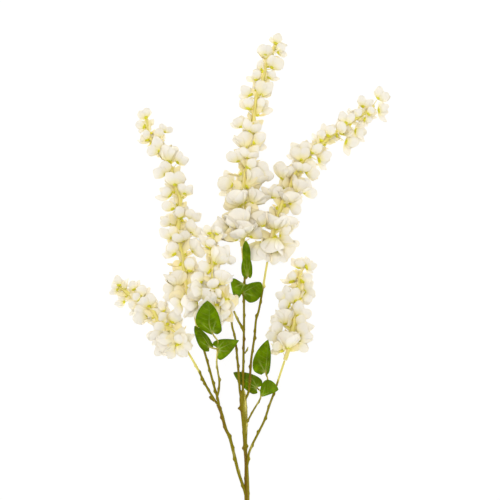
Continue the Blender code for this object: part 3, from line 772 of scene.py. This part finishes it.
def petal_material(settings):
    """Cream petals: green-yellow at the throat, partly as a painted glow; painted warm shade on
    rims, beside the axis and on the blossoms behind; older blossoms a little warmer.
    """
    tree = Finish("petal_cream")
    broad, fine = tree.mottle(45.0)
    tone, along, across = tree.layer("tone"), tree.layer("along"), tree.layer("across")
    # Random age of the front blossoms, and painted shade of the blossoms behind and beside the
    # axis, turn the petal colour towards the shade colour.
    age_and_shade = tree.ramp(tree.plus(tone, tree.times(broad, 0.35)), 0.35, 1.15)
    colour = tree.mix(age_and_shade, settings.petal_colour, settings.shade_colour)
    # Yellow-green throat at the calyx, spread up to 0.6 of the petal as a painted warm glow.
    throat = tree.times(tree.ramp(along, 0.60, 0.02), 0.9)
    colour = tree.mix(throat, colour, settings.throat_colour)
    # Painted shade: rims and tips are mixed towards the shade colour.
    rim = tree.math("MAXIMUM", tree.ramp(across, 0.8, 1.0), tree.ramp(along, 0.9, 1.0))
    colour = tree.mix(tree.times(rim, 0.28), colour, settings.shade_colour)
    over = tree.node("CombineXYZ", {"X": across, "Y": tree.times(along, 0.3), "Z": tone})
    veins = tree.node("TexWave", {"Vector": over.outputs[0], "Scale": 5.0, "Distortion": 2.0})
    values = {
        "Base Color": colour, "Roughness": 0.55, "Specular IOR Level": 0.3,
        "Subsurface Weight": 0.2, "Subsurface Radius": (1.0, 1.0, 1.0), "Subsurface Scale": 0.0006,
    }
    tree.surface(values, tree.plus(veins.outputs["Fac"], tree.times(fine, 0.8)), 0.25, 0.0004)


def calyx_material(settings):
    """Lime calyxes, darker in patches."""
    tree = Finish("calyx_lime")
    broad, fine = tree.mottle(120.0)
    dark = tuple(0.7 * value for value in settings.calyx_colour)
    colour = tree.mix(tree.ramp(broad, 0.35, 0.75), settings.calyx_colour, dark)
    tree.surface({"Base Color": colour, "Roughness": 0.5}, fine, 0.3, 0.0003)


def axis_material(settings):
    """Pale yellow-green axes and pedicels with tan streaks."""
    tree = Finish("axis_yellow")
    broad, fine = tree.mottle(90.0, 0.35)
    streaks = tree.ramp(tree.plus(broad, tree.layer("tone")), 0.95, 1.35)
    colour = tree.mix(streaks, settings.pedicel_colour, TAN)
    tree.surface({"Base Color": colour, "Roughness": 0.55}, fine, 0.4, 0.0004)


def bark_material(stems, blossoms):
    """Bark from ripe brown at the foot, through olive, to pale near the racemes."""
    tree = Finish("stem_bark")
    broad, fine = tree.mottle(130.0, 0.16)
    streaks = tree.times(tree.math("SUBTRACT", broad, 0.5), 1.3)
    ripe = tree.plus(tree.layer("tone"), streaks)
    colour = tree.mix(tree.ramp(ripe, 0.0, 0.42), blossoms.pedicel_colour, stems.olive_colour)
    colour = tree.mix(tree.ramp(ripe, 0.62, 0.92), colour, stems.brown_colour)
    colour = tree.mix(tree.times(tree.ramp(fine, 0.58, 0.72), 0.32), colour, BARK_FLECK)
    roughness = tree.ramp(fine, -0.9, 1.4)
    values = {"Base Color": colour, "Roughness": roughness, "Specular IOR Level": 0.12}
    tree.surface(values, fine, 0.6, 0.0008)


def leaf_veins(tree):
    """Midrib, side veins that curve towards the tip, and a pale fan and rays at the base."""
    along, width = tree.layer("along"), tree.math("ABSOLUTE", tree.layer("across"))
    curve = tree.times(tree.math("POWER", width, 1.3), 0.2)
    run = tree.times(tree.math("SUBTRACT", along, curve), VEIN_RUN)
    wave = tree.math("ABSOLUTE", tree.math("SINE", run))
    sides = tree.times(tree.ramp(wave, 0.24, 0.0), tree.ramp(width, 1.0, 0.35))
    fade = tree.plus(tree.times(tree.ramp(along, 0.6, 0.05), 0.5), 0.09)
    midrib = tree.times(tree.ramp(width, 0.075, 0.015), fade)
    fan = tree.times(tree.ramp(along, 0.16, 0.0), tree.ramp(width, 0.6, 0.1))
    spread = tree.math("DIVIDE", width, tree.plus(along, 0.04))
    off_ray = tree.math("ABSOLUTE", tree.math("SUBTRACT", spread, 1.4))
    rays = tree.times(tree.ramp(off_ray, 0.35, 0.05), tree.ramp(along, 0.5, 0.05))
    veins = tree.math("MAXIMUM", tree.times(sides, 0.18), midrib)
    veins = tree.math("MAXIMUM", veins, tree.times(fan, 0.8))
    return tree.math("MAXIMUM", veins, tree.times(rays, 0.5))


def leaf_material(settings):
    """Green blades in two shades with paler veins."""
    tree = Finish("leaf_green")
    broad, fine = tree.mottle(70.0)
    veins = leaf_veins(tree)
    young = tuple(1.7 * value for value in settings.blade_colour)
    dark = tuple(0.72 * value for value in settings.blade_colour)
    colour = tree.mix(tree.ramp(broad, 0.45, 0.75), settings.blade_colour, young)
    colour = tree.mix(tree.ramp(broad, 0.48, 0.25), colour, dark)
    colour = tree.mix(veins, colour, settings.vein_colour)
    values = {
        "Base Color": colour, "Roughness": 0.45, "Specular IOR Level": 0.04,
        "Subsurface Weight": 0.08, "Subsurface Scale": 0.002,
    }
    tree.surface(values, tree.math("SUBTRACT", tree.times(fine, 0.3), veins), 0.5, 0.0012)


def make_materials(scene):
    """Makes the spray's materials, once."""
    if "petal_cream" not in bpy.data.materials:
        petal_material(scene.wisteria_blossoms)
        calyx_material(scene.wisteria_blossoms)
        axis_material(scene.wisteria_blossoms)
        bark_material(scene.wisteria_stems, scene.wisteria_blossoms)
        leaf_material(scene.wisteria_leaves)


# Blossoms


def petal_midline(shape):
    """A petal's midline, as places out from and up the blossom's middle, and the slope of each
    of its steps: it leaves the calyx, bellies out and then closes in or curls back."""
    midline = [Vector((0.06 * shape["width"], 0.0))]
    slopes = []
    for number in range(PETAL_STEPS + 1):
        v = number / PETAL_STEPS
        early, late = smooth_step(v / BELLY_TO), smooth_step((v - BELLY_TO) / (1 - BELLY_TO))
        slope = between((between((CALYX_SLOPE, shape["open"]), early), shape["curl"]), late)
        slopes.append(slope)
        step = Vector((math.sin(slope), math.cos(slope))) * shape["length"] / PETAL_STEPS
        midline.append(midline[-1] + step)
    return midline, slopes


def petal(builder, matrix, shape, tone, core):
    """One petal in a blossom's frame, a blade that wraps round the blossom about its midline.
    It gets painted warm shade near the raceme's axis, which core finds."""
    half, sharp = shape["half"], shape["sharp"]
    midline, slopes = petal_midline(shape)
    turn = Matrix.Rotation(-shape["lean"], 4, "X") @ Matrix.Rotation(shape["turn"], 4, "Z")
    matrix = matrix @ turn
    for vertex, u, v in builder.grid(PETAL_COLUMNS, PETAL_ROWS):
        late = max(0.0, (v - TIP_FROM) / (1 - TIP_FROM))
        breadth = half * between((PETAL_FOOT, 1), smooth_step(v / FULL_FROM))
        breadth *= 1 - TIP_NARROWING * late ** 2
        # The corners are drawn back, the more the sharper the petal, and the midline ends in a
        # small point or notch.
        reach = v - (0.30 + 0.22 * sharp) * abs(u) ** (2.3 - sharp) * v ** 3
        reach += shape["point"] * (1 - abs(u)) ** 3 * late
        spot = max(0.0, min(1.0, reach)) * PETAL_STEPS
        first = min(int(spot), PETAL_STEPS - 1)
        middle = midline[first].lerp(midline[first + 1], spot - first)
        slope = slopes[first]
        around = max(middle.x, half)
        angle = u * breadth / around
        cup = around * (1 - math.cos(angle)) * shape["cup"]
        ripple = shape["ripple"] * math.sin(RIPPLE_TURN * u + shape["phase"])
        cup += ripple * shape["width"] * v * v
        across = around * math.sin(angle)
        vertex.co = matrix @ Vector((
            middle.x - cup * math.cos(slope), across, middle.y + cup * math.sin(slope)
        ))
        vertex.co.z = max(vertex.co.z, LIFT * MM)
        vertex[builder.along] = v
        vertex[builder.across] = abs(u)
        # Painted shade: the tone rises towards the axis, deep in the raceme.
        depth = 1 - core.find(vertex.co)[2] / shape["core"]
        vertex[builder.tone] = tone + PAINTED_CORE_SHADE * smooth_step(depth)


def blossom_matrix(base, direction, outward):
    """A frame at base with Z along direction and X towards the blossom's outer side."""
    side = direction.cross(outward)
    side = side.normalized() if side.length > 0.01 else direction.orthogonal().normalized()
    columns = Matrix((side.cross(direction), side, direction)).transposed().to_4x4()
    return Matrix.Translation(base) @ columns


def blossom_form(small, large, chance):
    """The petals of one blossom: a rounded one in front, two pointed ears and a back petal
    between them, or two in front and two behind; the largest blossoms have six. Each has its
    turn about the blossom, its lean to the side, its length and half breadth, both in widths of
    the blossom, and its opening and curl in radians."""
    opening = chance.uniform(0.0, 0.25) - (0.05 if small or large else 0.0)
    side = chance.choice((1, -1))
    slim = chance.uniform(0.34, 0.46)
    if large:
        facing = chance.choice((0.0, 0.5, -0.5)) + chance.uniform(-0.3, 0.3)
        return [
            (facing, 0.0, 0.92, 0.60, 0.20 + opening, -0.05 + opening),
            (facing + 2.1, 0.0, 0.84, 0.48, 0.45 + opening, -0.15 + 1.3 * opening),
            (facing - 2.1, 0.0, 0.84, 0.48, 0.45 + opening, -0.15 + 1.3 * opening),
            (facing + math.pi, 0.0, 0.78, 0.50, 0.25 + opening, -0.35 + opening),
            (facing + 1.2, 0.0, 0.9, 0.50, 0.6, 0.1),
            (facing - 1.2, 0.0, 0.9, 0.50, 0.55, 0.2),
        ]
    if chance.random() < EARED_SHARE:
        return [
            (-0.2 * side, -0.15 * side, 0.86, slim, 0.22 + opening, -0.30 + opening),
            (math.pi - 0.4 * side, 0.62 * side, 1.10, 0.9 * slim, 0.25 + opening, 0.15 + opening),
            (math.pi + 0.4 * side, -0.62 * side, 1.02, 0.9 * slim, 0.3 + opening, 0.15 + opening),
            (math.pi + 0.1 * side, 0.10 * side, 0.98, 0.44, 0.12 + opening, opening),
        ]
    return [
        (0.35 * side, 0.40 * side, 0.92, slim, 0.25 + opening, -0.15 + opening),
        (-0.35 * side, -0.35 * side, 0.88, slim, 0.20 + opening, -0.20 + opening),
        (math.pi - 0.3 * side, 0.35 * side, 0.98, slim, 0.15 + opening, 0.05 + opening),
        (math.pi + 0.4 * side, -0.40 * side, 0.94, slim, 0.20 + opening, opening),
    ]


def add_petals(builder, blossom, chance, core):
    """The petals of one blossom, each a little different from its form."""
    matrix = blossom_matrix(blossom["base"], blossom["direction"], blossom["outward"])
    width = blossom["width"]
    small, large = width < SMALL_BLOSSOM * MM, width > LARGE_BLOSSOM * MM
    for turn, lean, length, half, opened, curl in blossom_form(small, large, chance):
        rounded = large or turn < 1  # the front petals' turn is near 0
        shape = {
            "width": width,
            "length": width * length * chance.uniform(0.93, 1.07),
            "half": width * half * chance.uniform(0.92, 1.08),
            "turn": turn + chance.uniform(-0.2, 0.2),
            "lean": lean + chance.uniform(-0.12, 0.12),
            "open": opened + chance.uniform(-0.1, 0.15),
            "curl": curl + chance.uniform(-0.2, 0.2),
            "cup": chance.uniform(0.35, 0.85),
            "point": chance.choice((0.0, -0.10, -0.15, 0.04, 0.08)),
            "sharp": chance.uniform(0.0, 0.4) if rounded else chance.uniform(0.7, 1.3),
            "ripple": chance.uniform(0.04, 0.11 if large else 0.08),
            "phase": chance.uniform(0, math.tau), "core": 0.75 * blossom["thick"],
        }
        petal(builder, matrix, shape, blossom["age_and_shade"] + chance.uniform(-0.1, 0.15), core)


def add_calyx(builder, blossom):
    """The lime cup that holds a blossom and the pedicel that carries it from the axis."""
    width, direction = min(blossom["width"], WIDEST_CALYX * MM), blossom["direction"]
    foot = blossom["foot"]
    cup = [blossom["base"] + rise * width * direction for rise, _ in CALYX]
    radii = [radius * width / MM for _, radius in CALYX]
    last = len(radii) - 1
    sweep(builder, cup, CALYX_SIDES, lambda share, length, angle: radii[round(share * last)])
    start = cup[0]
    knee = foot.lerp(start, 0.55) - 0.1 * (start - foot).length * direction
    knee.z = max(knee.z, 1.2 * MM)  # off the surface
    sweep(builder, [foot, knee, start], PEDICEL_SIDES, plain_taper(PEDICEL_RADII), material=1)


def arch(centre, point, radius):
    """Height over a point of a round about an axis that runs through centre."""
    aside = math.hypot(point.x - centre.x, point.y - centre.y)
    return centre.z + math.sqrt(max(0.0, radius ** 2 - aside ** 2))


def front_blossoms(raceme, axis, chance):
    """The blossoms that show from above. Each one's middle is about as far from the axis as its
    raceme is thick there, so the nearer it lies to the axis from above, the higher it stands."""
    for calyx_x, calyx_y, middle_x, middle_y, width, *height in raceme["blossoms"]:
        calyx, middle = place((calyx_x, calyx_y, 0)), place((middle_x, middle_y, 0))
        width *= (1.10 if width < 30 else 1.05) * MM  # a small one's petals spread wider
        at = nearest_on(axis, calyx.x, calyx.y)
        reach = between(raceme["reach"], at / (len(axis) - 1)) * MM
        thick = reach - 0.4 * width
        middle.z = arch(axis[nearest_on(axis, middle.x, middle.y)], middle, thick)
        middle.z += chance.uniform(-2, 2) * MM
        if height:
            middle.z = place((0, 0, height[0])).z
        calyx.z = min(arch(axis[at], calyx, CALYX_DEPTH * thick), middle.z + 0.1 * width)
        middle.z = max(middle.z, 0.45 * width)
        direction = (middle - calyx).normalized()
        yield {
            "foot": axis[max(0, at - 2)], "base": middle - CALYX_BELOW * width * direction,
            "direction": direction, "outward": Vector((0, 0, 1)), "width": width,
            "age_and_shade": chance.uniform(0.0, 0.35), "thick": reach,
        }


def back_blossoms(raceme, axis, chance):
    """The blossoms that stand behind and to the sides, in a spiral up the axis. One that would
    go into the surface is turned up off it."""
    count = raceme["behind"]
    for number in range(count):
        share = (number + 0.5) / count * BACK_TO
        foot, along = place_at(axis, share)
        full = between(raceme["reach"], share)
        reach = full * BACK_REACH * MM
        width = min(BACK_WIDTHS[1], max(BACK_WIDTHS[0], 1.1 * full))
        width *= chance.uniform(0.85, 1.1) * MM
        side, up = frame_across(along)
        turn = math.pi * between(BACK_TURNS, number * GOLDEN_SHARE % 1)
        outward = math.cos(turn) * side + math.sin(turn) * up
        direction = (outward + chance.uniform(0.6, 1.2) * along).normalized()
        pedicel = max(3 * MM, reach / direction.dot(outward) - 0.9 * width)
        base = foot + pedicel * direction
        lowest = (base + 0.7 * width * direction).z - 0.4 * width
        if lowest < 0:
            direction = (direction - Vector((0, 0, lowest / (pedicel + width)))).normalized()
            base = foot + pedicel * direction
        yield {
            "foot": foot, "base": base, "direction": direction, "outward": outward,
            # Painted shade: the blossoms behind take a tone far towards the shade colour.
            "width": width, "age_and_shade": chance.uniform(0.55, 0.95), "thick": reach,
        }


class WISTERIA_OT_blossoms(bpy.types.Operator):
    """Add the petals, calyxes and pedicels of all racemes"""

    bl_idname = "wisteria.add_blossoms"
    bl_label = "Blossoms"

    def execute(self, context):
        make_materials(context.scene)
        thickness = context.scene.wisteria_blossoms.petal_thickness
        for name, raceme in RACEMES.items():
            chance = random.Random(raceme["seed"])
            axis = raceme_routes(raceme, AXIS_STEP)[1]
            core = KDTree(len(axis))
            for number, point in enumerate(axis):
                core.insert(point, number)
            core.balance()
            petals, calyxes = Builder(), Builder()
            for kind in (front_blossoms, back_blossoms):
                for blossom in kind(raceme, axis, chance):
                    add_petals(petals, blossom, chance, core)
                    add_calyx(calyxes, blossom)
            nodes = [f"{name}_bud_{number}" for number in range(1, raceme["buds"] + 1)]
            nodes.insert(0, name + "_blossoms")
            petals.make_piece(name + "_petals", ["petal_cream"], "petal", nodes, thickness)
            calyxes.make_piece(name + "_calyxes", ["calyx_lime", "axis_yellow"], "raceme_axis")
        return {"FINISHED"}


class WISTERIA_OT_axes(bpy.types.Operator):
    """Add the pale axis of each raceme, swollen where pedicels leave it"""

    bl_idname = "wisteria.add_axes"
    bl_label = "Raceme Axes"

    def execute(self, context):
        make_materials(context.scene)
        for name, raceme in RACEMES.items():
            axis = raceme_routes(raceme, AXIS_STEP)[1]
            chance = random.Random(raceme["seed"])
            knobs = [
                (calyx_y - 6, chance.choice((-1, 1)), chance.uniform(0.2, 0.5))
                for _, calyx_y, *_ in raceme["blossoms"]
            ]
            builder = Builder()
            radius = bark_radius(AXIS_RADII, AXIS_RIBS, knobs, axis)
            sweep(builder, axis, AXIS_SIDES, radius, strand=0.2)
            builder.make_piece(name + "_rachis", ["axis_yellow"], "raceme_axis", [name + "_axis"])
        return {"FINISHED"}


# Stems and leaves


class WISTERIA_OT_stems(bpy.types.Operator):
    """Add the ribbed and knobbly stems and the leaf stalks"""

    bl_idname = "wisteria.add_stems"
    bl_label = "Stems"

    def execute(self, context):
        make_materials(context.scene)
        sides = context.scene.wisteria_stems.sides
        pieces = []
        for name, stem in STEMS.items():
            pieces.append((name, flatten(smooth_route(stem["route"], STEM_STEP)), stem))
        for raceme in RACEMES.values():
            route = raceme_routes(raceme, STEM_STEP)[0]
            pieces.append((raceme["stem_name"], route, {**RACEME_STEM, **raceme}))
        for name, route, look in pieces:
            builder = Builder()
            ribs = look["ribs"]
            radius = bark_radius(look["radii"], ribs, look["knobs"], route)
            tones = ripeness_along(route, look)
            around = sides + (4 if ribs > 3 else 0)
            sweep(builder, route, around, radius, tones, strand=0.05 * ribs)
            nodes = [name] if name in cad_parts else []
            builder.make_piece(name + "_bark", ["stem_bark"], "bark", nodes)
        return {"FINISHED"}


def leaf_breadth(v, shoulder, taper):
    """A blade's breadth from base to tip, 1 where it is broadest."""
    peak = shoulder / (shoulder + taper)
    most = peak ** shoulder * (1 - peak) ** taper
    return v ** shoulder * max(1 - v, 0.004) ** taper / most


def add_blade(name, leaf, number, thickness):
    """One blade, from a grid shaped about its midrib."""
    base, tip = place(leaf["base"]), place(leaf["tip"])
    along = (tip - base).normalized()
    flat_side = along.cross(Vector((0, 0, 1))).normalized()
    roll = math.radians(leaf["roll"])
    side = flat_side * math.cos(roll) + flat_side.cross(along) * math.sin(roll)
    up = side.cross(along)
    length = (tip - base).length
    builder = Builder()
    for vertex, u, v in builder.grid(LEAF_COLUMNS, LEAF_ROWS):
        outline = leaf_breadth(max(v, 0.002), leaf["shoulders"][u > 0], leaf["taper"])
        half = 0.5 * leaf["width"] * leaf["halves"][u > 0] * MM * outline
        half *= 1 - leaf.get("waist", 0.0) * math.exp(-((v - WAIST_AT) / WAIST_LENGTH) ** 2)
        lobe = -leaf["lobe"] * length * abs(u) ** 1.5 * (1 - v) ** 4
        sway = leaf["sway"] * MM * math.sin(math.tau * v)
        bow = leaf["bow"] * MM * math.sin(math.pi * v)
        rise = leaf["fold"] * MM * abs(u) ** 1.2 * outline
        wave = 0.9 * MM * abs(u) ** 2 * math.sin(9 * v + 2.1 * number + (2 if u > 0 else 0))
        vertex.co = base + along * (v * length + lobe)
        vertex.co += side * (u * half + sway) + up * (bow + rise + wave)
        vertex.co.z = max(vertex.co.z, 0.5 * MM)  # off the surface
        vertex[builder.along] = v
        vertex[builder.across] = u
        vertex[builder.tone] = 0.5
    builder.make_piece(name + "_blade", ["leaf_green"], "leaf", [name], thickness)


def add_petiole(name, leaf):
    """The thin stalk that carries one blade."""
    foot, base, tip = (place(leaf[end]) for end in ("foot", "base", "tip"))
    knee = foot.lerp(base, 0.6) - 0.02 * (tip - base)
    builder = Builder()
    route = [foot, knee, base, base.lerp(tip, 0.05)]
    tones = [PETIOLE_RIPENESS] * len(route)
    sweep(builder, route, PETIOLE_SIDES, plain_taper(PETIOLE_RADII), tones)
    builder.make_piece(name + "_petiole", ["stem_bark"], "bark")


class WISTERIA_OT_leaves(bpy.types.Operator):
    """Add the pointed leaves with their petioles"""

    bl_idname = "wisteria.add_leaves"
    bl_label = "Leaves"

    def execute(self, context):
        make_materials(context.scene)
        for number, (name, leaf) in enumerate(LEAVES.items()):
            add_blade(name, leaf, number, context.scene.wisteria_leaves.thickness)
            add_petiole(name, leaf)
        return {"FINISHED"}


# Stage


def add_floor():
    """A pale floor that the camera sees as white, with the spray's soft shadow."""
    mesh = bpy.data.meshes.new("floor")
    grid = bmesh.new()
    bmesh.ops.create_grid(grid, x_segments=1, y_segments=1, size=FLOOR_REACH)
    grid.to_mesh(mesh)
    grid.free()
    tree = Finish("floor_white")
    tree.feed(tree.shader, {
        "Base Color": (0.8, 0.8, 0.8), "Roughness": 0.9, "Specular IOR Level": 0.0,
        "Emission Color": (1.0, 1.0, 1.0), "Emission Strength": 0.7,
    })
    shade = tree.node("BsdfDiffuse", {"Color": (0.15, 0.15, 0.15)})
    glow = tree.node("Emission", {"Strength": 0.89})
    seen = tree.node("AddShader", {0: shade.outputs[0], 1: glow.outputs[0]})
    tree.only_camera_sees(seen, tree.shader, "Material Output")
    mesh.materials.append(tree.material)
    floor = bpy.data.objects.new("floor", mesh)
    bpy.context.scene.collection.objects.link(floor)
    floor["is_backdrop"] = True


def add_world(settings):
    """Light from low on all sides and a little from above, pale where the camera sees it."""
    world = bpy.data.worlds.new("studio")
    bpy.context.scene.world = world
    world.use_nodes = True
    tree = NodeTree(world.node_tree)
    ways = tree.node("TexCoord", {}).outputs["Generated"]
    height = tree.node("SeparateXYZ", {0: ways}).outputs["Z"]
    low = tree.math("SUBTRACT", 1.0, tree.math("ABSOLUTE", height))
    sides = tree.times(tree.math("POWER", low, 2.0), settings.side_strength)
    light = tree.nodes["Background"]
    strength = tree.plus(sides, settings.sky_strength)
    tree.feed(light, {"Color": (1.0, 1.0, 1.0), "Strength": strength})
    pale = tree.node("Background", {"Color": (0.8, 0.8, 0.8), "Strength": 1.0})
    tree.only_camera_sees(pale, light, "World Output")


def add_lamp(settings):
    """One large soft lamp over the tips, to the left."""
    lamp = bpy.data.lights.new("key", "AREA")
    lamp.shape = "DISK"
    lamp.size = 2.0
    lamp.energy = settings.key_power
    key = bpy.data.objects.new("key", lamp)
    key.location = KEY_PLACE
    key.rotation_euler = (-key.location).to_track_quat("-Z", "Y").to_euler()
    bpy.context.scene.collection.objects.link(key)


def add_camera(settings):
    """A long lens straight above, with the flower tips at the top."""
    camera = bpy.data.cameras.new("camera")
    camera.lens = settings.lens
    camera.clip_end = 20.0
    height = 0.5 * settings.view_width / math.tan(0.5 * camera.angle)
    obj = bpy.data.objects.new("camera", camera)
    obj.location = place(VIEW_CENTRE) + Vector((0, 0, height))
    bpy.context.scene.collection.objects.link(obj)
    bpy.context.scene.camera = obj


class WISTERIA_OT_stage(bpy.types.Operator):
    """Add the floor, the light and the camera"""

    bl_idname = "wisteria.add_stage"
    bl_label = "Stage"

    def execute(self, context):
        settings = context.scene.wisteria_stage
        add_floor()
        add_world(settings)
        add_lamp(settings)
        add_camera(settings)
        context.scene.view_settings.view_transform = "Standard"
        return {"FINISHED"}


# Panel and registration


class WISTERIA_PT_panel(bpy.types.Panel):
    """Lists the spray's settings and operators"""

    bl_idname = "WISTERIA_PT_panel"
    bl_label = "Wisteria Spray"
    bl_space_type = "VIEW_3D"
    bl_region_type = "UI"
    bl_category = "Wisteria"

    def draw(self, context):
        layout = self.layout
        for pointer, operators in PANEL_SECTIONS:
            box = layout.box()
            settings = getattr(context.scene, pointer)
            for name in settings.__annotations__:
                box.prop(settings, name)
            for operator in operators:
                box.operator(operator.bl_idname)


PANEL_SECTIONS = (
    ("wisteria_stems", (WISTERIA_OT_stems,)),
    ("wisteria_leaves", (WISTERIA_OT_leaves,)),
    ("wisteria_blossoms", (WISTERIA_OT_axes, WISTERIA_OT_blossoms)),
    ("wisteria_stage", (WISTERIA_OT_stage,)),
)
SETTINGS = {
    "wisteria_stems": StemSettings,
    "wisteria_leaves": LeafSettings,
    "wisteria_blossoms": BlossomSettings,
    "wisteria_stage": StageSettings,
}
CLASSES = (
    *SETTINGS.values(),
    WISTERIA_OT_stems,
    WISTERIA_OT_leaves,
    WISTERIA_OT_axes,
    WISTERIA_OT_blossoms,
    WISTERIA_OT_stage,
    WISTERIA_PT_panel,
)


def register():
    """Registers the classes and hangs the settings on the scene."""
    for cls in CLASSES:
        bpy.utils.register_class(cls)
    for name, settings in SETTINGS.items():
        setattr(bpy.types.Scene, name, PointerProperty(type=settings))


def unregister():
    """Takes the settings and the classes away again."""
    for name in SETTINGS:
        delattr(bpy.types.Scene, name)
    for cls in reversed(CLASSES):
        bpy.utils.unregister_class(cls)


def main():
    """Builds the spray and its stage."""
    register()
    bpy.ops.wisteria.add_stems()
    bpy.ops.wisteria.add_leaves()
    bpy.ops.wisteria.add_axes()
    bpy.ops.wisteria.add_blossoms()
    bpy.ops.wisteria.add_stage()
    boxes = [[list(corner) for corner in box] for box in (CAD_BOX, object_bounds())]


if __name__ == "__main__":
    main()
